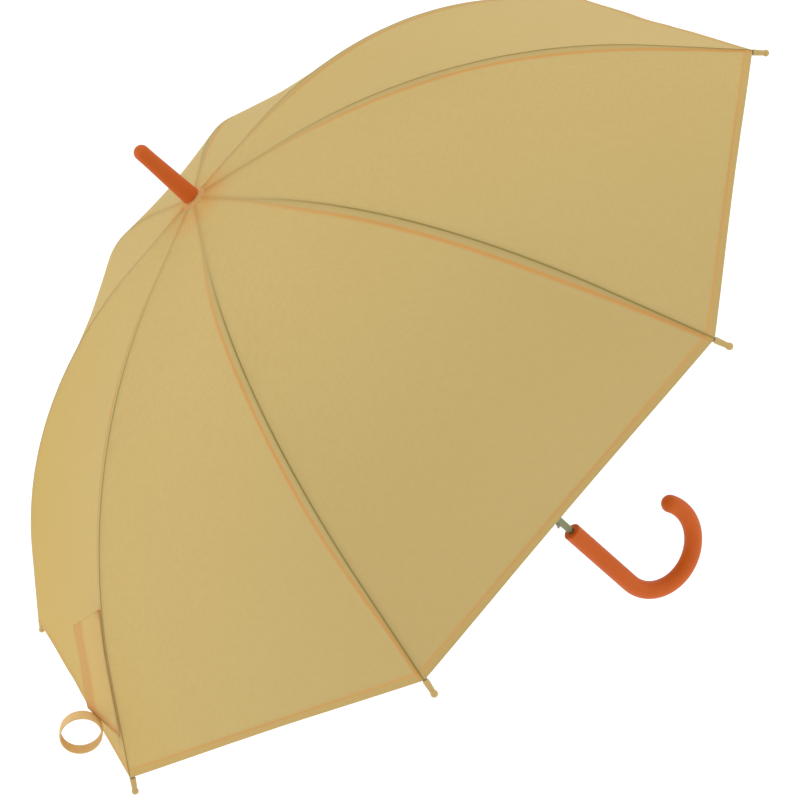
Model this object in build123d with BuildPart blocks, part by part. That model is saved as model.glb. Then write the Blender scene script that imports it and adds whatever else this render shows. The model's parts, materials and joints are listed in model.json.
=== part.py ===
from build123d import *
from math import atan2, cos, degrees, hypot, radians, sin, tan
import os

os.makedirs("parts", exist_ok=True)

# Children's stick umbrella, open. Millimetres. +Z runs up the shaft to the ferrule.
# The origin is on the shaft's axis at the middle of the handle's straight grip.
# Rib 1 points along +X, and the ribs are numbered anticlockwise seen from the ferrule.

rib_count = 8
rib_pitch = 360 / rib_count
half_pitch = radians(rib_pitch / 2)

# Heights along the shaft
handle_top_z = 46.0
crown_z = handle_top_z + 516.0

# Curve of a rib, measured along the cloth from the crown: straight, bent, straight
inner_slope = radians(9)
outer_slope = radians(47)
bend_start = 90.0
bend_radius = 490.0
bend_end = bend_start + bend_radius * (outer_slope - inner_slope)
rib_length = 500.0

# Sections
cloth_thickness = 0.8
rib_width = 3.2
rib_top_lift = -1.1
rib_depth = 2.6
rib_groove_width = 1.9
pivot_lift = -6.1
joint_along = 230.0

# Shaft and its fittings
shaft_radius = 3.5
shaft_bore_radius = 2.9
wire_ring_radius = 9.0
wire_radius = 0.4
eye_hole_radius = 0.5
spool_radius = 10.6
hub_radius = 6.5
runner_bore_radius = 3.6
runner_tube_radius = 6.0
runner_tail = 69.4
catch_azimuth = 210.0
catch_travel = 3.6
catch_top_below_pivot = 49.2
catch_foot_below_pivot = 60.6
closed_angle = radians(3)

# Ferrule and rosette
ferrule_base_radius = 8.0
ferrule_tip_radius = 6.7
ferrule_length = 66.0
rosette_radius = 12.5

# Closing strap
strap_rib = 6
strap_top = 368.0
strap_end = 450.0
strap_width = 25.5
tape_thickness = 1.2
loop_radius = 17.2
loop_tape_width = 13.0
loop_centre = (415.5, -28.7, 381.2)
loop_axis = (-0.562, -0.815, -0.143)
strap_stand = (0.4095, -0.7108, 0.5718)

# Handle
handle_radius = 9.0
grip_length = 93.0
hook_radius = 44.5
hook_turn = radians(202)
hook_azimuth = 30.0


def curve_point(along, lift):
    """A point of the rib's plane: distance along the cloth, height above its middle."""
    turn = min(max((along - bend_start) / bend_radius, 0), outer_slope - inner_slope)
    slope = inner_slope + turn
    straight = min(along, bend_start)
    beyond = max(along - bend_end, 0)
    x = straight * cos(inner_slope) + bend_radius * (sin(slope) - sin(inner_slope))
    z = -straight * sin(inner_slope) - bend_radius * (cos(inner_slope) - cos(slope))
    x += beyond * cos(outer_slope)
    z -= beyond * sin(outer_slope)
    return (x + lift * sin(slope), crown_z + z + lift * cos(slope))


def curve_edges(start, end, lift):
    """Adds the rib curve between two distances, at one height above the cloth."""
    inside = [knot for knot in (bend_start, bend_end) if start < knot < end]
    knots = [start] + inside + [end]
    for a, b in zip(knots, knots[1:]):
        if a >= bend_start and b <= bend_end:
            middle = curve_point((a + b) / 2, lift)
            ThreePointArc(curve_point(a, lift), middle, curve_point(b, lift))
        else:
            Line(curve_point(a, lift), curve_point(b, lift))


def curve_band(start, end, low, high):
    """Fills the band between two heights above the cloth."""
    with BuildLine() as outline:
        curve_edges(start, end, high)
        curve_edges(start, end, low)
        Line(curve_point(start, low), curve_point(start, high))
        Line(curve_point(end, low), curve_point(end, high))
    make_face(outline.edges())


def curve_polygon(*corners):
    with BuildLine() as outline:
        Polyline(*[curve_point(along, lift) for along, lift in corners], close=True)
    make_face(outline.edges())


# Where the pivots lie. A stretcher is as long as the rib from notch to joint, so the
# runner's pivots are the notch's pivots mirrored in the height of the joints.
notch_along = (wire_ring_radius - pivot_lift * sin(inner_slope)) / cos(inner_slope)
notch_x, notch_z = curve_point(notch_along, pivot_lift)
joint_x, joint_z = curve_point(joint_along, pivot_lift)
runner_z = 2 * joint_z - notch_z
stretcher_length = hypot(joint_x - notch_x, joint_z - notch_z)
open_angle = atan2(joint_x - notch_x, notch_z - joint_z)
closed_runner_z = notch_z - 2 * stretcher_length * cos(closed_angle)
stretcher_rise = atan2(joint_z - runner_z, joint_x - wire_ring_radius)

rib_low_lift = rib_top_lift - rib_depth
inner_end = joint_along - 5
outer_start = joint_along + 5
rib_end = rib_length + 5

# ---- Shaft: one steel tube from inside the ferrule to inside the handle ----
shaft_low_z = handle_top_z - 70
shaft_high_z = crown_z + 42
top_catch_z = runner_z - catch_top_below_pivot
bottom_catch_z = closed_runner_z - catch_foot_below_pivot

with BuildPart() as shaft:
    with BuildSketch(Plane.XY.offset(shaft_low_z)):
        Circle(shaft_radius)
        Circle(shaft_bore_radius, mode=Mode.SUBTRACT)
    extrude(amount=shaft_high_z - shaft_low_z)
    # slots for the two catches
    for slot_z in (top_catch_z - 4.5, bottom_catch_z + 4.5):
        with BuildSketch(Plane.YZ) as slot:
            with Locations((0, slot_z)):
                Rectangle(1.4, 13)
        extrude(amount=5, mode=Mode.SUBTRACT)
shaft_piece = Rot(0, 0, catch_azimuth) * shaft.part


def catch_plate(edge_z, toward):
    """A thin catch with its square edge at edge_z, sloping away up (+1) or down (-1)."""
    with BuildPart() as plate:
        with BuildSketch(Plane.XZ):
            with BuildLine():
                Polyline(
                    (1.0, edge_z),
                    (6.5, edge_z),
                    (6.5, edge_z + toward * 1.0),
                    (3.1, edge_z + toward * 10),
                    (1.0, edge_z + toward * 10),
                    close=True,
                )
            make_face()
        extrude(amount=0.5, both=True)
    return Rot(0, 0, catch_azimuth) * plate.part


top_catch = catch_plate(top_catch_z, -1)
bottom_catch = catch_plate(bottom_catch_z, 1)


def spool_slots(low_z, high_z, width):
    """Cuts a slot for each rib or stretcher into a spool."""
    with BuildSketch(Plane.XY.offset(low_z)) as slots:
        with PolarLocations(10.9, rib_count):
            Rectangle(8, width)
    extrude(slots.sketch, amount=high_z - low_z, mode=Mode.SUBTRACT)


def wire_groove(z):
    """Cuts the groove that the wire ring lies in."""
    with BuildSketch(Plane.XY.offset(z - 0.45)) as groove:
        Circle(spool_radius + 1)
        Circle(8.5, mode=Mode.SUBTRACT)
    extrude(groove.sketch, amount=0.9, mode=Mode.SUBTRACT)


# ---- Top notch, fixed at the head of the shaft, and its wire ring ----
with BuildPart() as top_notch:
    with BuildSketch(Plane.XY.offset(notch_z - 2.2)):
        Circle(spool_radius)
    extrude(amount=3.6)
    with BuildSketch(Plane.XY.offset(notch_z - 9)):
        Circle(hub_radius)
    extrude(amount=13.6)
    spool_slots(notch_z - 2.5, notch_z + 1.6, 1.8)
    wire_groove(notch_z)
    with BuildSketch(Plane.XY.offset(notch_z - 10)):
        Circle(shaft_radius)
    extrude(amount=20, mode=Mode.SUBTRACT)


def wire_ring(z):
    with BuildPart() as ring:
        with BuildSketch(Plane.XZ):
            with Locations((wire_ring_radius, z)):
                Circle(wire_radius)
        revolve(axis=Axis.Z)
    return ring.part


# ---- Runner: the sleeve that slides on the shaft, with a window for the catches ----
with BuildPart() as runner:
    with BuildSketch(Plane.XY.offset(runner_z - 2.2)):
        Circle(spool_radius)
    extrude(amount=3.6)
    with BuildSketch(Plane.XY.offset(runner_z - 9)):
        Circle(hub_radius)
    extrude(amount=15)
    with BuildSketch(Plane.XY.offset(runner_z - runner_tail)):
        Circle(runner_tube_radius)
    extrude(amount=runner_tail)
    with BuildSketch(Plane.XY.offset(runner_z - runner_tail)):
        Circle(hub_radius + 1)
    extrude(amount=3)
    spool_slots(runner_z - 2.5, runner_z + 1.6, 1.6)
    wire_groove(runner_z)
    with BuildSketch(Plane.XY.offset(runner_z - runner_tail - 1)):
        Circle(runner_bore_radius)
    extrude(amount=runner_tail + 20, mode=Mode.SUBTRACT)
    window_turn = radians(catch_azimuth)
    window_plane = Plane(
        origin=(0, 0, 0),
        x_dir=(-sin(window_turn), cos(window_turn), 0),
        z_dir=(cos(window_turn), sin(window_turn), 0),
    )
    window_high_z = runner_z - catch_top_below_pivot + 0.2
    window_low_z = runner_z - catch_foot_below_pivot - 0.2
    with BuildSketch(window_plane):
        with Locations((0, (window_high_z + window_low_z) / 2)):
            Rectangle(2.4, window_high_z - window_low_z)
    extrude(amount=10, mode=Mode.SUBTRACT)

# ---- Ribs: fluted steel, jointed where the stretcher meets them ----
with BuildPart() as rib_inner:
    with BuildSketch(Plane.XZ):
        curve_band(notch_along, inner_end, rib_low_lift, rib_top_lift)
    extrude(amount=rib_width / 2, both=True)
    # flute along the underside
    with BuildSketch(Plane.XZ):
        curve_band(notch_along + 8, inner_end + 1, rib_low_lift - 1, rib_top_lift - 0.8)
    extrude(amount=rib_groove_width / 2, both=True, mode=Mode.SUBTRACT)
    # eye that hangs on the notch's wire
    with BuildSketch(Plane.XZ):
        curve_polygon(
            (notch_along, rib_low_lift + 0.4),
            (notch_along + 7, rib_low_lift + 0.4),
            (notch_along + 1.75, pivot_lift),
            (notch_along - 1.75, pivot_lift),
        )
        with Locations((notch_x, notch_z)):
            Circle(1.8)
            Circle(eye_hole_radius, mode=Mode.SUBTRACT)
    extrude(amount=0.7, both=True)
    # two cheeks of the joint clip
    for side in (-1, 1):
        with BuildSketch(Plane.XZ.offset(side * 0.9)):
            curve_polygon(
                (joint_along - 14, rib_low_lift + 0.3),
                (inner_end, rib_top_lift - 0.4),
                (joint_along + 1.3, pivot_lift + 1.4),
                (joint_along - 1.3, pivot_lift - 1.4),
            )
            with Locations((joint_x, joint_z)):
                Circle(1.9)
                Circle(0.7, mode=Mode.SUBTRACT)
        extrude(amount=0.3, both=True)

# rivet through the joint, with a head on each side
with BuildPart() as rivet:
    with BuildSketch(Plane.XZ):
        with Locations((joint_x, joint_z)):
            Circle(0.7)
    extrude(amount=2.0, both=True)
    for side in (-1, 1):
        with BuildSketch(Plane.XZ.offset(side * 2.3)):
            with Locations((joint_x, joint_z)):
                Circle(1.3)
        extrude(amount=0.3, both=True)

with BuildPart() as rib_outer:
    with BuildSketch(Plane.XZ):
        curve_band(outer_start, rib_end, rib_low_lift, rib_top_lift)
    extrude(amount=rib_width / 2, both=True)
    with BuildSketch(Plane.XZ):
        curve_band(outer_start - 1, rib_length - 8, rib_low_lift - 1, rib_top_lift - 0.8)
    extrude(amount=rib_groove_width / 2, both=True, mode=Mode.SUBTRACT)
    for side in (-1, 1):
        with BuildSketch(Plane.XZ.offset(side * 1.6)):
            curve_polygon(
                (joint_along + 14, rib_low_lift + 0.3),
                (outer_start, rib_top_lift - 0.4),
                (joint_along - 1.3, pivot_lift + 1.4),
                (joint_along + 1.3, pivot_lift - 1.4),
            )
            with Locations((joint_x, joint_z)):
                Circle(1.9)
                Circle(0.8, mode=Mode.SUBTRACT)
        extrude(amount=0.3, both=True)

# ---- Stretcher: fluted steel strut from the runner's wire to the rib joint ----
stretcher_plane = Plane(
    origin=(wire_ring_radius, 0, runner_z),
    x_dir=(cos(stretcher_rise), 0, sin(stretcher_rise)),
    z_dir=(0, -1, 0),
)
with BuildPart() as stretcher:
    with BuildSketch(stretcher_plane):
        with Locations((stretcher_length / 2, 0)):
            Rectangle(stretcher_length - 12, 2.2)
    extrude(amount=1.2, both=True)
    with BuildSketch(stretcher_plane):
        with Locations((stretcher_length / 2, -0.5)):
            Rectangle(stretcher_length - 24, 1.6)
    extrude(amount=0.7, both=True, mode=Mode.SUBTRACT)
    with BuildSketch(stretcher_plane):
        for middle in (4.5, stretcher_length - 4.5):
            with Locations((middle, 0)):
                Rectangle(9, 2.0)
        for end in (0, stretcher_length):
            with Locations((end, 0)):
                Circle(1.7)
        Circle(eye_hole_radius, mode=Mode.SUBTRACT)
        with Locations((stretcher_length, 0)):
            Circle(0.8, mode=Mode.SUBTRACT)
    extrude(amount=0.5, both=True)

# ---- Rib tip: small plastic bulb over the end of the rib ----
tip_lift = rib_top_lift - rib_depth / 2
tip_x, tip_z = curve_point(rib_length + 0.8, tip_lift)
tip_bulb_x = 11.3
tip_bulb_radius = 2.9
tip_plane = Plane(
    origin=(tip_x, 0, tip_z),
    x_dir=(cos(outer_slope), 0, -sin(outer_slope)),
    z_dir=(0, -1, 0),
)
with BuildPart() as rib_tip:
    with BuildSketch(tip_plane):
        with BuildLine():
            bulb_start = tip_bulb_x - (tip_bulb_radius**2 - 2.2**2) ** 0.5
            Line((0, 0), (0, 2.6))
            Line((0, 2.6), (bulb_start, 2.2))
            ThreePointArc(
                (bulb_start, 2.2),
                (tip_bulb_x, tip_bulb_radius),
                (tip_bulb_x + tip_bulb_radius, 0),
            )
            Line((tip_bulb_x + tip_bulb_radius, 0), (0, 0))
        make_face()
    revolve(axis=Axis(tip_plane.origin, tip_plane.x_dir))
    with BuildSketch(Plane.XZ):
        curve_band(rib_length - 2, rib_end, rib_low_lift, rib_top_lift)
    extrude(amount=rib_width / 2, both=True, mode=Mode.SUBTRACT)

# ---- Canopy: cloth cut half way between ribs, and across at the rib joints ----
ruling = (-sin(half_pitch), cos(half_pitch))
seam_gap = 0.15
joint_cloth_z = curve_point(joint_along, 0)[1]
rim_x, rim_z = curve_point(rib_length, 0)
low_z = rim_z - 10


def gore_wedge(bottom_z, top_z):
    """Keeps what lies between the two mirror planes beside the rib."""
    reach = 480.0
    tip = seam_gap / sin(half_pitch)
    with BuildSketch(Plane.XY.offset(bottom_z)) as wedge:
        with BuildLine():
            Polyline(
                (tip, 0),
                (tip + reach, reach * tan(half_pitch)),
                (tip + reach, -reach * tan(half_pitch)),
                close=True,
            )
        make_face()
    extrude(wedge.sketch, amount=top_z - bottom_z, mode=Mode.INTERSECT)


def gore_cloth(start, end, bottom_z, top_z):
    with BuildPart() as cloth:
        for side in (1, -1):
            with BuildSketch(Plane.XZ):
                curve_band(start, end, -cloth_thickness / 2, cloth_thickness / 2)
            extrude(amount=170, dir=(ruling[0], side * ruling[1], 0))
        gore_wedge(bottom_z, top_z)
    return cloth.part


canopy_inner = gore_cloth(5.5, joint_along + 20, joint_cloth_z + 0.15, crown_z + 10)
canopy_outer = gore_cloth(joint_along - 20, rib_length, low_z, joint_cloth_z - 0.15)

# ---- Rosette: the round patch under the ferrule ----
with BuildPart() as crown_rosette:
    with BuildSketch(Plane.XZ):
        with BuildLine():
            inner = (shaft_radius, curve_point(shaft_radius, 0)[1] + 0.75)
            outer = (rosette_radius, crown_z - rosette_radius * tan(inner_slope) + 0.75)
            Polyline(
                inner,
                outer,
                (outer[0], outer[1] + 0.6),
                (inner[0], inner[1] + 0.6),
                close=True,
            )
        make_face()
    revolve(axis=Axis.Z)

# ---- Ferrule: tapered plastic cap pressed on the head of the shaft ----
ferrule_low_z = crown_z + 1.5
ferrule_high_z = crown_z + ferrule_length
with BuildPart() as ferrule:
    with BuildSketch(Plane.XZ):
        with BuildLine():
            dome_z = ferrule_high_z - ferrule_tip_radius
            Line((0, ferrule_low_z), (ferrule_base_radius, ferrule_low_z))
            Line((ferrule_base_radius, ferrule_low_z), (ferrule_tip_radius, dome_z - 9))
            Line((ferrule_tip_radius, dome_z - 9), (ferrule_tip_radius, dome_z))
            RadiusArc((ferrule_tip_radius, dome_z), (0, ferrule_high_z), -ferrule_tip_radius)
            Line((0, ferrule_high_z), (0, ferrule_low_z))
        make_face()
    revolve(axis=Axis.Z)
    with BuildSketch(Plane.XY.offset(ferrule_low_z)):
        Circle(shaft_radius)
    extrude(amount=shaft_high_z - ferrule_low_z, mode=Mode.SUBTRACT)

# ---- Handle: straight grip and J hook in one plastic piece ----
grip_low_z = handle_top_z - grip_length
hook_centre = (hook_radius, grip_low_z)
hook_end_turn = radians(180) - hook_turn
hook_middle_turn = (radians(180) + hook_end_turn) / 2
hook_end = (
    hook_centre[0] + hook_radius * cos(hook_end_turn),
    hook_centre[1] - hook_radius * sin(hook_end_turn),
)
hook_middle = (
    hook_centre[0] + hook_radius * cos(hook_middle_turn),
    hook_centre[1] - hook_radius * sin(hook_middle_turn),
)
with BuildPart() as handle:
    with BuildLine():
        Line((0, 0, handle_top_z), (0, 0, grip_low_z))
        ThreePointArc(
            (0, 0, grip_low_z),
            (hook_middle[0], 0, hook_middle[1]),
            (hook_end[0], 0, hook_end[1]),
        )
    with BuildSketch(Plane.XY.offset(handle_top_z)):
        Circle(handle_radius)
    sweep()
    with Locations((hook_end[0], 0, hook_end[1])):
        Sphere(handle_radius)
    with BuildSketch(Plane.XY.offset(shaft_low_z)):
        Circle(shaft_radius)
    extrude(amount=handle_top_z - shaft_low_z + 1, mode=Mode.SUBTRACT)
    chamfer(handle.edges().group_by(Axis.Z)[-1].sort_by(SortBy.RADIUS)[-1], 0.8)
handle_piece = Rot(0, 0, hook_azimuth) * handle.part

# ---- Closing strap: a tape standing off beside rib 6, with a loop at its low corner ----
strap_start = (3 * ruling[0], -3 * ruling[1], 0)
with BuildPart() as closure_strap:
    with BuildSketch(Plane(origin=strap_start, x_dir=(1, 0, 0), z_dir=(0, -1, 0))):
        curve_band(strap_top, strap_end, 0.75, 1.75)
    extrude(amount=strap_width, dir=strap_stand)
    with BuildSketch(Plane(origin=loop_centre, z_dir=loop_axis)):
        Circle(loop_radius)
        Circle(loop_radius - tape_thickness, mode=Mode.SUBTRACT)
    extrude(amount=loop_tape_width / 2, both=True)


def save(piece, name):
    piece.label = name
    export_step(piece, f"parts/{name}.step")


save(shaft_piece, "shaft")
save(top_notch.part, "top_notch")
save(wire_ring(notch_z), "notch_wire")
save(top_catch, "top_spring")
save(bottom_catch, "bottom_spring")
save(runner.part, "runner")
save(wire_ring(runner_z), "runner_wire")
save(crown_rosette.part, "crown_rosette")
save(ferrule.part, "ferrule")
save(handle_piece, "handle")

for number in range(1, rib_count + 1):
    turn = Rot(0, 0, rib_pitch * (number - 1))
    save(turn * Compound(children=[rib_inner.part, rivet.part]), f"rib_inner_{number}")
    save(turn * rib_outer.part, f"rib_outer_{number}")
    save(turn * stretcher.part, f"stretcher_{number}")
    save(turn * rib_tip.part, f"rib_tip_{number}")
    save(turn * canopy_inner, f"canopy_inner_{number}")
    save(turn * canopy_outer, f"canopy_outer_{number}")

strap_turn = Rot(0, 0, rib_pitch * (strap_rib - 1))
save(strap_turn * closure_strap.part, "closure_strap")
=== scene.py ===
import json
import math

import bmesh
import bpy
from mathutils import Matrix, Vector, noise


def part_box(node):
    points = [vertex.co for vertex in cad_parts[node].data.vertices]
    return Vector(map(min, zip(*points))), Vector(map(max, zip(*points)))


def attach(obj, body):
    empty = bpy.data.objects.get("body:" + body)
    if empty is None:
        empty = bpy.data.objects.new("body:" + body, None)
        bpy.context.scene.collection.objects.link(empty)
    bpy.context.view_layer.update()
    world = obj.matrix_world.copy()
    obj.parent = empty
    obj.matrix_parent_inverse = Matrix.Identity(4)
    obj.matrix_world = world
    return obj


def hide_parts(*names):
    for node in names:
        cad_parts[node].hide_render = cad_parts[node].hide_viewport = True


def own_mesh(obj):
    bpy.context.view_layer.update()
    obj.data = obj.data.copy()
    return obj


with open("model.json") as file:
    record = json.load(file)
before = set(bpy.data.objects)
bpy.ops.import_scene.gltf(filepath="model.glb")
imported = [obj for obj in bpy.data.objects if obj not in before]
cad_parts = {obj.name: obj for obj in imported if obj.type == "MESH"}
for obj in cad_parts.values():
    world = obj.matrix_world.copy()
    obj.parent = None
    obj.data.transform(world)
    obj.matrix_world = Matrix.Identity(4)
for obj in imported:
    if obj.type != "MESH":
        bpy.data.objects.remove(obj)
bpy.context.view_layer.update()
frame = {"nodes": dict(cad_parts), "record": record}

# ---- Measures of the umbrella, in metres ----
RIB_COUNT = 8
PITCH = 2 * math.pi / RIB_COUNT
HALF = PITCH / 2
INNER_SLOPE = math.radians(9)
OUTER_SLOPE = math.radians(47)
BEND_START = 0.090
BEND_RADIUS = 0.490
BEND_END = BEND_START + BEND_RADIUS * (OUTER_SLOPE - INNER_SLOPE)
RIB_LENGTH = 0.500
JOINT_ALONG = 0.230
CROWN_HOLE = 0.004
CROWN_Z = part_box("ferrule")[0][2] - 0.0015
PANEL_SAG = 0.0036
RIM_SCALLOP = 0.0010
HEM_WIDTH = 0.0056
STRAP_RIB = 6


def rib_point(along, lift=0.0):
    """Distance from the shaft and height of a point on a rib's curve."""
    turn = min(max((along - BEND_START) / BEND_RADIUS, 0), OUTER_SLOPE - INNER_SLOPE)
    slope = INNER_SLOPE + turn
    straight = min(along, BEND_START)
    beyond = max(along - BEND_END, 0)
    out = straight * math.cos(INNER_SLOPE) + beyond * math.cos(OUTER_SLOPE)
    out += BEND_RADIUS * (math.sin(slope) - math.sin(INNER_SLOPE))
    down = straight * math.sin(INNER_SLOPE) + beyond * math.sin(OUTER_SLOPE)
    down += BEND_RADIUS * (math.cos(INNER_SLOPE) - math.cos(slope))
    return out + lift * math.sin(slope), CROWN_Z - down + lift * math.cos(slope)


def half_width(along):
    """Cloth from a rib to the middle of the panel beside it, at one distance along."""
    return rib_point(along)[0] * math.sin(HALF)


def cloth_point(number, side, along, across, lift=0.0):
    """A point beside rib number: side 1 is anticlockwise seen from the ferrule."""
    out, height = rib_point(along)
    place = Vector((out - across * math.sin(HALF), side * across * math.cos(HALF), height))
    if lift:
        above_out, above_height = rib_point(along, 1.0)
        level = Vector((math.cos(HALF), side * math.sin(HALF), 0)) * (above_out - out)
        place += lift * (level + Vector((0, 0, (above_height - height) * math.cos(HALF)))).normalized()
    return Matrix.Rotation(PITCH * (number - 1), 3, "Z") @ place


def panel_lift(number, side, along, across):
    """How far the stretched cloth stands off the straight line between its two ribs."""
    width = max(half_width(along), 1e-6)
    share = min(across / width, 1.0)
    panel = number if side > 0 else (number - 2) % RIB_COUNT + 1
    place = side * (width - across)
    sag = PANEL_SAG * math.sin(math.pi * min(along / RIB_LENGTH, 1.0)) ** 0.7
    ripple = noise.noise(Vector((along * 11, place * 16, panel * 5.3)))
    ripple += 0.5 * noise.noise(Vector((along * 26, place * 30, panel * 9.1)))
    calm = math.sin(math.pi * share / 2)
    return -sag * calm + 0.0009 * ripple * calm * min(along / 0.12, 1.0)


def rim_along(across):
    """Where the hem's edge lies: it curves up a little between the tips."""
    share = min(across / half_width(RIB_LENGTH), 1.0)
    return RIB_LENGTH - RIM_SCALLOP * math.sin(math.pi * share / 2) ** 2


def cloth_surface(number, side, along, across):
    lift = panel_lift(number, side, along, across)
    return cloth_point(number, side, along, across, lift)


# ---- Meshes ----
def new_piece(name, bm, smooth=True):
    mesh = bpy.data.meshes.new(name)
    bm.to_mesh(mesh)
    bm.free()
    piece = bpy.data.objects.new(name, mesh)
    bpy.context.collection.objects.link(piece)
    for face in mesh.polygons:
        face.use_smooth = smooth
    return piece


def cloth_grid(name, number, side, rows, columns, placing):
    """A grid of cloth: placing(u, v) gives along, across, lift for shares 0 to 1."""
    bm = bmesh.new()
    bmesh.ops.create_grid(bm, x_segments=rows, y_segments=columns, size=0.5)
    layer = bm.loops.layers.uv.new("cloth")
    bm.verts.index_update()
    places = [placing(vert.co.x + 0.5, vert.co.y + 0.5) for vert in bm.verts]
    for face in bm.faces:
        for loop in face.loops:
            along, across, _ = places[loop.vert.index]
            loop[layer].uv = (along, -side * across)
    for vert in bm.verts:
        along, across, lift = places[vert.index]
        lift += panel_lift(number, side, along, across)
        vert.co = cloth_point(number, side, along, across, lift)
    if side < 0:
        bmesh.ops.reverse_faces(bm, faces=bm.faces[:])
    piece = new_piece(name, bm)
    normals = []
    step = 0.0005
    for along, across, lift in places:
        if lift:
            normals.append((0, 0, 0))
            continue
        down = cloth_surface(number, side, along + step, across)
        down -= cloth_surface(number, side, along - step, across)
        # the panel runs on past its middle, where the next rib's half takes over
        width = half_width(along)
        near, far = max(across - step, 0.0), min(across + step, width)
        over = cloth_surface(number, side, along, far)
        over -= cloth_surface(number, side, along, near)
        if far - near < 1e-7:
            over = cloth_point(number, side, along, 0.01) - cloth_point(number, side, along, 0)
        up = down.cross(over).normalized() * side
        if up.z < 0:
            up.negate()
        if across > width - 1e-6:
            middle = Matrix.Rotation(PITCH * (number - 1) + side * HALF, 3, "Z")
            sideways = middle @ Vector((0, 1, 0))
            up = (up - up.dot(sideways) * sideways).normalized()
        normals.append(up)
    piece.data.normals_split_custom_set_from_vertices(normals)
    return piece


# Folding plan: for every length of half panel, the axis along which it would flatten on to its rib as
# the frame folds, and the share of its width that reaches the half panel of the next rib when the
# umbrella is shut. The cloth pieces themselves are not flattened here.
ZONES = (
    ("inner", "crown", CROWN_HOLE, 0.055),
    ("inner", "upper", 0.055, 0.110),
    ("inner", "shoulder", 0.110, 0.170),
    ("inner", "elbow", 0.170, JOINT_ALONG),
    ("outer", "side", JOINT_ALONG, 0.300),
    ("outer", "flank", 0.300, 0.370),
    ("outer", "lower", 0.370, 0.435),
    ("outer", "rim", 0.435, RIB_LENGTH),
)
FOLD_TURN = math.radians(72.818)
SPREAD_TURN = math.radians(-21.0)
FIRST_LEAN = math.radians(5)
HINGE = (0.009, sum(corner[2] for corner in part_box("notch_wire")) / 2)
ELBOW = rib_point(JOINT_ALONG, -0.0061)


def swing(point, pin, turn):
    out, height = point.x - pin[0], point.z - pin[1]
    cos, sin = math.cos(turn), math.sin(turn)
    return Vector((pin[0] + out * cos + height * sin, point.y, pin[1] - out * sin + height * cos))


def shut(point, body):
    """Where a point of rib 1's cloth goes when the umbrella is shut, before it flattens."""
    if body == "outer":
        point = swing(point, ELBOW, SPREAD_TURN)
    return swing(point, HINGE, FOLD_TURN)


def pleat(body, start, end, lean):
    """Axis, anchor and kept share of the anticlockwise half panel of rib 1."""
    (x0, z0), (x1, z1) = rib_point(start), rib_point(end)
    xm, zm = rib_point((start + end) / 2)
    chord = Vector((x1 - x0, 0, z1 - z0)).normalized()
    across = Vector((-math.sin(HALF), math.cos(HALF), 0))
    flat = (across - across.dot(chord) * chord).normalized()
    inward = chord.cross(flat)
    if inward.z > 0:
        inward.negate()
    axis = flat * math.cos(lean) + inward * math.sin(lean)
    anchor = Vector(((x0 + x1) / 4 + xm / 2, 0, (z0 + z1) / 4 + zm / 2))
    middle = (start + end) / 2
    far = cloth_point(1, 1, middle, half_width(middle))
    flattened = far - (far - anchor).dot(axis) * axis
    none = shut(flattened, body).dot(across)
    whole = shut(far, body).dot(across)
    return axis, anchor, min(max((-0.0006 - none) / (whole - none), 0.02), 1.0)


def crest(body, along, axis, anchor, keep):
    """Distance from the shaft of a pleat's crest when the umbrella is shut."""
    far = cloth_point(1, 1, along, half_width(along))
    far -= (1 - keep) * (far - anchor).dot(axis) * axis
    return shut(far, body).to_2d().length


def fold_plan():
    """For each length of cloth, the pleat whose crest carries on from the one before."""
    plan, last = {}, None
    for body, name, start, end in ZONES:
        lean = FIRST_LEAN
        if last is not None:
            low, high = math.radians(-12), math.radians(20)
            for _ in range(24):
                lean = (low + high) / 2
                if crest(body, start, *pleat(body, start, end, lean)) < last:
                    low = lean
                else:
                    high = lean
        plan[name] = pleat(body, start, end, lean)
        last = crest(body, end, *plan[name])
    return plan


PLAN = fold_plan()


def fold_cloth(piece, number, side, name):
    axis, anchor, keep = PLAN[name]
    turn = Matrix.Rotation(PITCH * (number - 1), 3, "Z")
    axis = turn @ Vector((axis.x, side * axis.y, axis.z))
    tuple(turn @ anchor)
    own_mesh(piece)


ROWS, COLUMNS = 10, 18
# past the edge: how far along from it, and how far off the cloth, towards the inside
HEM_FOLD = ((0.0002, -0.0005), (-0.0004, -0.0010), (-HEM_WIDTH, -0.0011))


def gore(number, side, name, start, end):
    """A half panel between two distances from the crown; the rim's has a hem folded under."""
    rim = name == "rim"
    under = len(HEM_FOLD) if rim else 0

    def placing(u, v):
        row = round(u * (ROWS + under))
        stop = rim_along(v * half_width(RIB_LENGTH)) if rim else end
        if row <= ROWS:
            along, lift = start + (stop - start) * row / ROWS, 0.0
        else:
            shift, lift = HEM_FOLD[row - ROWS - 1]
            along = stop + shift
        return along, v * half_width(along), lift

    full_name = f"canopy_{number}_{'left' if side > 0 else 'right'}_{name}"
    return cloth_grid(full_name, number, side, ROWS + under, COLUMNS, placing)


# ---- Shader helpers ----
class Value:
    """A socket that takes part in arithmetic; each operation adds a Math node."""

    def __init__(self, graph, socket):
        self.graph, self.socket = graph, socket

    def _math(self, operation, *terms):
        return self.graph.node("ShaderNodeMath", {"operation": operation}, *terms)

    def __add__(self, other):
        return self._math("ADD", self, other)

    __radd__ = __add__

    def __sub__(self, other):
        return self._math("SUBTRACT", self, other)

    def __rsub__(self, other):
        return self._math("SUBTRACT", other, self)

    def __mul__(self, other):
        return self._math("MULTIPLY", self, other)

    __rmul__ = __mul__

    def __abs__(self):
        return self._math("ABSOLUTE", self)

    def above(self, low, high):
        """Rises smoothly from 0 at low to 1 at high."""
        return self.graph.node(
            "ShaderNodeMapRange",
            {"interpolation_type": "SMOOTHSTEP"},
            self, low, high, 0.0, 1.0,
        )

    def below(self, low, high):
        return 1 - self.above(low, high)

    def least(self, other):
        return self._math("MINIMUM", self, other)


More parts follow.
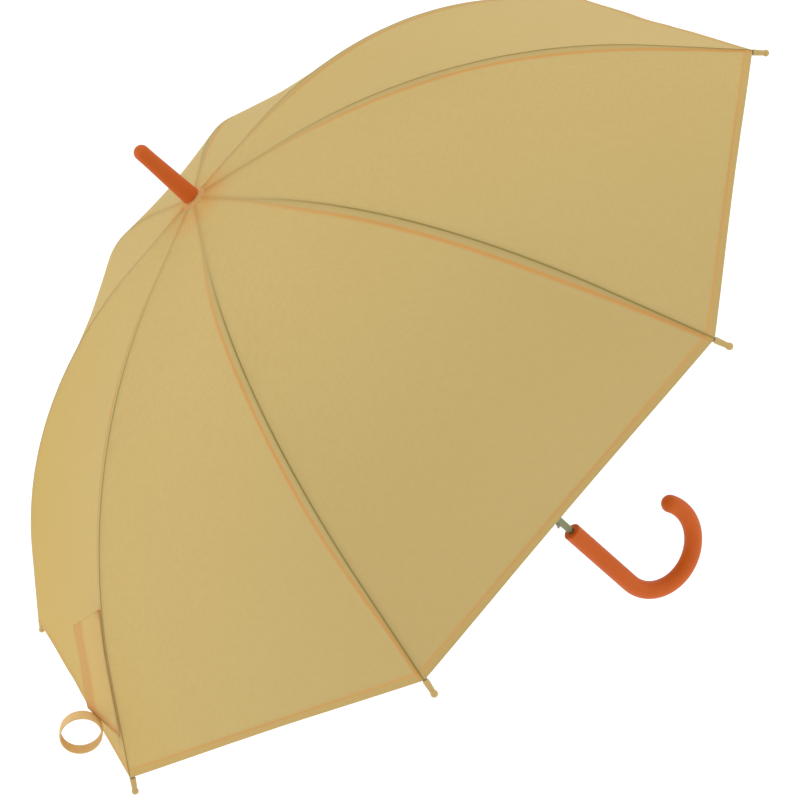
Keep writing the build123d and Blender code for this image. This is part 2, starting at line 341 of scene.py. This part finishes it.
class Graph:
    def __init__(self, name):
        self.material = bpy.data.materials.new(name)
        self.material.use_nodes = True
        self.tree = self.material.node_tree
        self.tree.nodes.clear()

    def node(self, kind, settings=None, *inputs, output=0, **named):
        made = self.tree.nodes.new(kind)
        for key, value in (settings or {}).items():
            setattr(made, key, value)
        pairs = list(zip(made.inputs, inputs))
        pairs += [(made.inputs[key.replace("_", " ")], value) for key, value in named.items()]
        for socket, value in pairs:
            if value is None:
                continue
            if isinstance(value, Value):
                self.tree.links.new(value.socket, socket)
            else:
                socket.default_value = value
        return Value(self, made.outputs[output])

    def blend(self, share, first, second):
        """first where share is 0, second where it is 1; both are colours."""
        made = self.tree.nodes.new("ShaderNodeMix")
        made.data_type = "RGBA"
        factor, low, high = made.inputs[0], made.inputs[6], made.inputs[7]
        for socket, value in ((factor, share), (low, first), (high, second)):
            if isinstance(value, Value):
                self.tree.links.new(value.socket, socket)
            elif isinstance(value, tuple):
                socket.default_value = (*value[:3], 1)
            else:
                socket.default_value = value
        return Value(self, made.outputs[2])

    def place(self):
        return self.node("ShaderNodeTexCoord", None, output=3)

    def split(self, vector):
        """The first two parts of a vector."""
        made = self.tree.nodes.new("ShaderNodeSeparateXYZ")
        self.tree.links.new(vector.socket, made.inputs[0])
        return Value(self, made.outputs[0]), Value(self, made.outputs[1])

    def weave(self, vector, scale):
        """Threads that cross: noise drawn out one way and then the other."""
        first = self.noise(self.stretched(vector, (1.0, 0.35, 1.0)), scale, 2.0)
        return first + self.noise(self.stretched(vector, (0.35, 1.0, 1.0)), scale, 2.0)

    def stretched(self, vector, scale):
        return self.node("ShaderNodeMapping", None, Vector=vector, Scale=scale)

    def noise(self, vector, scale, detail=3.0, roughness=0.5):
        return self.node(
            "ShaderNodeTexNoise", None,
            Vector=vector, Scale=scale, Detail=detail, Roughness=roughness,
        )

    def bump(self, height, strength, distance):
        return self.node("ShaderNodeBump", None, Strength=strength, Distance=distance, Height=height)

    def finish(self, shader):
        out = self.tree.nodes.new("ShaderNodeOutputMaterial")
        self.tree.links.new(shader.socket, out.inputs["Surface"])
        return self.material


def srgb(red, green, blue):
    """A colour given in display values, 0 to 255, as linear values."""
    def one(c):
        c /= 255
        return c / 12.92 if c <= 0.04045 else ((c + 0.055) / 1.055) ** 2.4
    return (one(red), one(green), one(blue))


def principled(graph, colour, roughness, normal=None, **constants):
    return graph.node(
        "ShaderNodeBsdfPrincipled", None,
        **{"Base_Color": colour if isinstance(colour, Value) else (*colour, 1),
           "Roughness": roughness, "Normal": normal, **constants},
    )


# ---- Finishes ----
THREADS = 2600.0


def canopy_cloth():
    g = Graph("canopy cloth")
    uv = g.node("ShaderNodeUVMap", {"uv_map": "cloth"})
    along, across = g.split(uv)
    place = g.place()

    # width of the seam allowance: none at the crown, least again at the tip
    allowance = 0.0082 * along.above(0.01, 0.16) * (1 - 0.72 * along.above(0.34, 0.50))
    wander = g.noise(place, 9.0, 2.0)
    # painted shade: a dark olive line along each rib, standing in for the rib's shadow through the cloth
    # and the shading of the ridge
    rib_shadow = abs(across).below(0.0002, 0.0014)
    rib_shadow_share = rib_shadow * along.above(0.06, 0.20) * (0.55 + 0.45 * wander)
    inside = across.above(0.0, 0.0008) * (allowance - across).above(-0.0010, 0.0006)
    edge = abs(across - allowance).below(0.0004, 0.0031) * across.above(-0.0002, 0.0010)
    edge = edge * (0.25 + 0.75 * along.above(0.05, 0.20))
    beyond = abs(across - allowance - 0.0045).below(0.0, 0.0035) * along.above(0.22, 0.30)
    hem = along.above(RIB_LENGTH - 0.0074, RIB_LENGTH - 0.0066)
    hem_line = abs(along - (RIB_LENGTH - 0.0064)).below(0.0004, 0.0016)
    crown = along.below(0.010, 0.048)

    panel = g.blend(g.noise(place, 5.0, 2.0), srgb(205, 180, 120), srgb(200, 174, 112))
    x, y = g.split(place)
    shaded = (x * 0.383 - y * 0.924).above(0.12, 0.38)
    # painted shade: the panels facing this side are painted warmer and a little darker, for how light
    # falls on them
    painted_side_shade = (x * -0.94 + y * 0.34).above(0.05, 0.34)
    slub = g.noise(g.stretched(uv, (1.0, 0.25, 1.0)), 380.0, 3.0)
    slub = slub * 0.5 + g.noise(g.stretched(uv, (0.25, 1.0, 1.0)), 380.0, 3.0) * 0.5
    panel = g.blend(slub.above(0.40, 0.62) * 0.35, panel, srgb(194, 168, 106))
    panel = g.blend(shaded * 0.45, panel, srgb(186, 164, 110))
    # painted shade on the panels of one side, warmer and a little darker
    panel = g.blend(painted_side_shade * 0.8, panel, srgb(200, 170, 96))
    panel = g.blend(inside * 0.55, panel, srgb(188, 166, 110))
    panel = g.blend(beyond * 0.35, panel, srgb(196, 176, 118))
    panel = g.blend(edge * (0.40 + 0.35 * wander), panel, srgb(212, 142, 70))
    streak = abs(across - allowance * 0.5).below(0.0, 0.0060) * along.below(0.015, 0.075)
    blush = crown * g.noise(place, 55.0, 1.0).above(0.20, 0.55)
    panel = g.blend(blush * 0.70, panel, srgb(212, 152, 80))
    panel = g.blend(streak * 0.20, panel, srgb(212, 146, 78))
    panel = g.blend(hem * 0.4, panel, srgb(220, 184, 112))
    panel = g.blend(hem_line * 0.5, panel, srgb(212, 150, 84))
    # painted shade along each rib's ridge, over the rib
    panel = g.blend(rib_shadow_share * 0.80, panel, srgb(118, 106, 28))

    crumple = g.noise(place, 60.0, 3.0)
    height = g.weave(uv, THREADS) * 0.3 + crumple * 0.25 + hem * 0.8 + inside * 0.5
    normal = g.bump(height, 0.25, 0.0004)
    cover = principled(g, panel, 0.6, normal, Specular_IOR_Level=0.04)
    glow = g.node("ShaderNodeBsdfTranslucent", None, Color=panel, Normal=normal)
    return g.finish(g.node("ShaderNodeMixShader", None, 0.16, cover, glow))


def moulded(name, base, dark, roughness, coat):
    g = Graph(name)
    place = g.place()
    tone = g.noise(place, 22.0, 3.0)
    fine = g.noise(place, 900.0, 2.0)
    colour = g.blend(tone, base, dark)
    height = fine * 0.4 + g.noise(place, 140.0, 2.0)
    normal = g.bump(height, 0.12, 0.0004)
    shine = roughness + 0.08 * tone
    return g.finish(principled(
        g, colour, shine, normal, Coat_Weight=coat, Coat_Roughness=0.2, Specular_IOR_Level=0.22,
    ))


def steel(name, base, dark, roughness):
    g = Graph(name)
    place = g.place()
    drawn = g.noise(g.stretched(place, (1.0, 1.0, 0.02)), 900.0, 3.0)
    bloom = g.noise(place, 70.0, 3.0)
    colour = g.blend(bloom, base, dark)
    normal = g.bump(drawn, 0.15, 0.0003)
    return g.finish(principled(g, colour, roughness + 0.15 * bloom, normal, Metallic=1.0))


def tape(name, base, dark):
    g = Graph(name)
    place = g.place()
    weave = g.noise(g.stretched(place, (1.0, 1.0, 0.3)), 1500.0, 2.0)
    weave = weave + g.noise(g.stretched(place, (0.3, 0.3, 1.0)), 1500.0, 2.0)
    colour = g.blend(g.noise(place, 40.0, 3.0), base, dark)
    normal = g.bump(weave, 0.4, 0.0005)
    cover = principled(g, colour, 0.7, normal, Specular_IOR_Level=0.12)
    glow = g.node("ShaderNodeBsdfTranslucent", None, Color=colour)
    return g.finish(g.node("ShaderNodeMixShader", None, 0.25, cover, glow))


def strap_cloth():
    """The strap's own cloth, with a turned edge and worn stitching at its two ends."""
    g = Graph("strap cloth")
    uv = g.node("ShaderNodeUVMap", {"uv_map": "strap"})
    along, out = g.split(uv)
    place = g.place()
    turned = out.above(0.0160, 0.0200) * (0.75 + 0.35 * g.noise(place, 30.0, 2.0))
    sewn = out.below(0.0, 0.0070) * along.below(0.360, 0.3705)
    tacked = (along + out * 0.8 - 0.4620).above(-0.0050, 0.0040)
    colour = g.blend(g.noise(place, 12.0, 2.0), srgb(234, 206, 138), srgb(229, 200, 130))
    colour = g.blend(turned * 0.6, colour, srgb(226, 172, 106))
    colour = g.blend((sewn + tacked * 0.8).least(1.0) * 0.75, colour, srgb(214, 150, 84))
    threads = g.noise(g.stretched(uv, (1.0, 0.35, 1.0)), THREADS, 2.0)
    normal = g.bump(threads + turned * 0.8, 0.25, 0.0004)
    cover = principled(g, colour, 0.55, normal, Specular_IOR_Level=0.12)
    glow = g.node("ShaderNodeBsdfTranslucent", None, Color=colour)
    return g.finish(g.node("ShaderNodeMixShader", None, 0.3, cover, glow))


cloth = canopy_cloth()
orange = moulded("orange plastic", srgb(204, 95, 24), srgb(192, 86, 16), 0.46, 0.0)
tip_plastic = moulded("tip plastic", srgb(200, 172, 112), srgb(188, 158, 96), 0.42, 0.0)
spool = moulded("spool plastic", srgb(222, 200, 160), srgb(210, 186, 142), 0.45, 0.1)
shaft_steel = steel("shaft steel", srgb(142, 146, 112), srgb(116, 120, 90), 0.32)
frame_steel = steel("frame steel", srgb(150, 148, 140), srgb(120, 118, 108), 0.36)
strap_tape = tape("strap tape", srgb(244, 214, 154), srgb(238, 204, 142))
rosette_cloth = tape("rosette cloth", srgb(234, 184, 116), srgb(228, 174, 104))

finishes = {
    "shaft_steel": shaft_steel,
    "frame_steel": frame_steel,
    "spool_plastic": spool,
    "orange_plastic": orange,
    "tip_plastic": tip_plastic,
    "canopy_cloth": cloth,
    "rosette_cloth": rosette_cloth,
    "strap_tape": strap_tape,
}
for part in frame["record"]["subparts"]:
    node = frame["nodes"][part["node"]]
    node.data.materials.clear()
    node.data.materials.append(finishes[part["material_slot"]])


def paint(piece, slot):
    piece.data.materials.append(finishes[slot])


# ---- Canopy ----
for number in range(1, RIB_COUNT + 1):
    for side in (1, -1):
        for body, name, start, end in ZONES:
            piece = gore(number, side, name, start, end)
            paint(piece, "canopy_cloth")
            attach(piece, f"rib_{body}_{number}")
            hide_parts(f"canopy_{body}_{number}")
            half_width(end)
            fold_cloth(piece, number, side, name)

# ---- Closing strap and its loop ----
STRAP_WIDTH = 0.0265
STRAP_LENGTH = 0.105
STRAP_STAND = math.radians(42)
STRAP_ROOT = 0.003
TAPE = 0.0006
LOOP_RADIUS = 0.0170
LOOP_TAPE = 0.0125
LOOP_LENGTH = 0.108
LOOP_CENTRE = Vector((-0.3139, -0.2735, 0.3812))
LOOP_AXIS = Vector((-0.179, 0.9734, -0.143)).normalized()


def strap_point(along, out, lift=0.0):
    """out is the distance from the seam across the strap, which stands off the panel."""
    rise = STRAP_STAND * min(out / 0.004, 1.0)
    across = STRAP_ROOT + out * math.cos(rise)
    return cloth_point(STRAP_RIB, -1, along, across, 0.0012 + out * math.sin(rise) + lift)


def strap():
    bm = bmesh.new()
    bmesh.ops.create_grid(bm, x_segments=28, y_segments=10, size=0.5)
    layer = bm.loops.layers.uv.new("strap")
    places = []
    for vert in bm.verts:
        u, v = vert.co.x + 0.5, vert.co.y + 0.5
        # both ends slant towards each other away from the seam
        top, end = 0.359 + 0.018 * v, 0.4665 - 0.021 * v
        along = top + (end - top) * u
        out = STRAP_WIDTH * v
        sway = 0.0007 * math.sin(7 * u + 2 * v) * v
        places.append((along, out))
        vert.co = strap_point(along, out, sway)
    bm.verts.index_update()
    for face in bm.faces:
        for loop in face.loops:
            loop[layer].uv = places[loop.vert.index]
    return thicken(new_piece("closing_strap", bm), TAPE)


def thicken(piece, thickness):
    layer = piece.modifiers.new("thickness", "SOLIDIFY")
    layer.thickness, layer.offset = thickness, 0
    with bpy.context.temp_override(object=piece, active_object=piece, selected_objects=[piece]):
        bpy.ops.object.modifier_apply(modifier=layer.name)
    return piece


def strap_loop():
    first = LOOP_AXIS.cross(Vector((0, 0, 1))).normalized()
    second = LOOP_AXIS.cross(first)
    bm = bmesh.new()
    bmesh.ops.create_grid(bm, x_segments=64, y_segments=6, size=0.5)
    for vert in bm.verts:
        turn, share = vert.co.x * 2 * math.pi, vert.co.y
        radius = LOOP_RADIUS * (1 + 0.03 * math.sin(2 * turn + 0.6)) - 0.0004 * (2 * share) ** 2
        ring = first * math.cos(turn) + second * math.sin(turn)
        vert.co = LOOP_CENTRE + ring * radius + LOOP_AXIS * share * LOOP_TAPE
    bmesh.ops.remove_doubles(bm, verts=bm.verts[:], dist=1e-6)
    bmesh.ops.recalc_face_normals(bm, faces=bm.faces[:])
    return thicken(new_piece("strap_loop", bm), TAPE * 1.4)


strip, loop = strap(), strap_loop()
strip.data.materials.append(strap_cloth())
paint(loop, "strap_tape")
for piece, flat in ((strip, (STRAP_WIDTH, STRAP_LENGTH)), (loop, (LOOP_TAPE, LOOP_LENGTH))):
    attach(piece, f"rib_outer_{STRAP_RIB}")
    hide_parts("closure_strap")


# ---- Rosette under the ferrule ----
PATCH_HOLE = 0.0042


def rosette():
    """A round patch that lies on the cloth, over the ends of the seams."""
    low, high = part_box("crown_rosette")
    radius = (high[0] - low[0]) / 2
    under_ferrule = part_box("ferrule")[0][2] - 0.0003
    bm = bmesh.new()
    bmesh.ops.create_grid(bm, x_segments=96, y_segments=8, size=0.5)
    for vert in bm.verts:
        turn, share = (vert.co.x + 0.5) * 2 * math.pi, vert.co.y + 0.5
        out = PATCH_HOLE + (radius * 0.96 - PATCH_HOLE) * share
        rib = round(turn / PITCH)
        aside = turn - rib * PITCH
        across = out * math.sin(abs(aside)) / math.cos(HALF)
        along = (out * math.cos(aside) + across * math.sin(HALF)) / math.cos(INNER_SLOPE)
        side = 1 if aside >= 0 else -1
        number = rib % RIB_COUNT + 1
        place = cloth_surface(number, side, along, across)
        # it rises to the ferrule, and its edge sinks just under the cloth
        place.z += 0.0036 * (1 - share) ** 1.1 - 0.0002
        place.z = min(place.z, under_ferrule)
        vert.co = place
    bmesh.ops.remove_doubles(bm, verts=bm.verts[:], dist=1e-6)
    bmesh.ops.recalc_face_normals(bm, faces=bm.faces[:])
    return thicken(new_piece("crown_patch", bm), 0.0003)


patch = rosette()
paint(patch, "rosette_cloth")
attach(patch, "root")
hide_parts("crown_rosette")

# ---- Camera, floor and light ----
camera_data = bpy.data.cameras.new("camera")
camera = bpy.data.objects.new("camera", camera_data)
bpy.context.collection.objects.link(camera)
camera_data.lens = 94.51
camera_data.sensor_width = 36
camera_data.shift_x, camera_data.shift_y = -0.0322, -0.029
azimuth, elevation, roll = math.radians(20.209), math.radians(29.112), math.radians(-48.327)
back = Vector((
    math.sin(azimuth) * math.cos(elevation),
    -math.cos(azimuth) * math.cos(elevation),
    math.sin(elevation),
))
camera.location = (0.5922, -1.5572, 1.2065)
camera.rotation_mode = "QUATERNION"
facing = (-back).to_track_quat("-Z", "Y").to_matrix() @ Matrix.Rotation(roll, 3, "Z")
camera.rotation_quaternion = facing.to_quaternion()
camera_data.clip_start, camera_data.clip_end = 0.05, 150
bpy.context.scene.camera = camera

FLOOR_Z = -2.6
bm = bmesh.new()
bmesh.ops.create_grid(bm, x_segments=1, y_segments=1, size=60)
bmesh.ops.translate(bm, verts=bm.verts[:], vec=(0, 0, FLOOR_Z))
floor = new_piece("floor", bm, smooth=False)
floor_graph = Graph("floor")
floor.data.materials.append(floor_graph.finish(
    principled(floor_graph, (0.92, 0.92, 0.92), 0.9, Emission_Color=(1, 1, 1, 1), Emission_Strength=0.36)
))


def soft_light(name, place, size, power, target=(0, 0, 0.4)):
    data = bpy.data.lights.new(name, "AREA")
    data.shape = "DISK"
    data.size, data.energy = size, power
    lamp = bpy.data.objects.new(name, data)
    bpy.context.collection.objects.link(lamp)
    lamp.location = place
    lamp.rotation_mode = "QUATERNION"
    lamp.rotation_quaternion = (Vector(target) - Vector(place)).to_track_quat("-Z", "Y")
    return lamp


soft_light("left", (-2.4, -0.3, 1.9), 1.6, 16)
soft_light("right", (1.7, 0.5, 2.6), 1.6, 12)

world = bpy.data.worlds.new("studio")
bpy.context.scene.world = world
world.use_nodes = True
world.node_tree.nodes["Background"].inputs[0].default_value = (1, 1, 1, 1)
world.node_tree.nodes["Background"].inputs[1].default_value = 0.86
bpy.context.scene.view_settings.view_transform = "Standard"
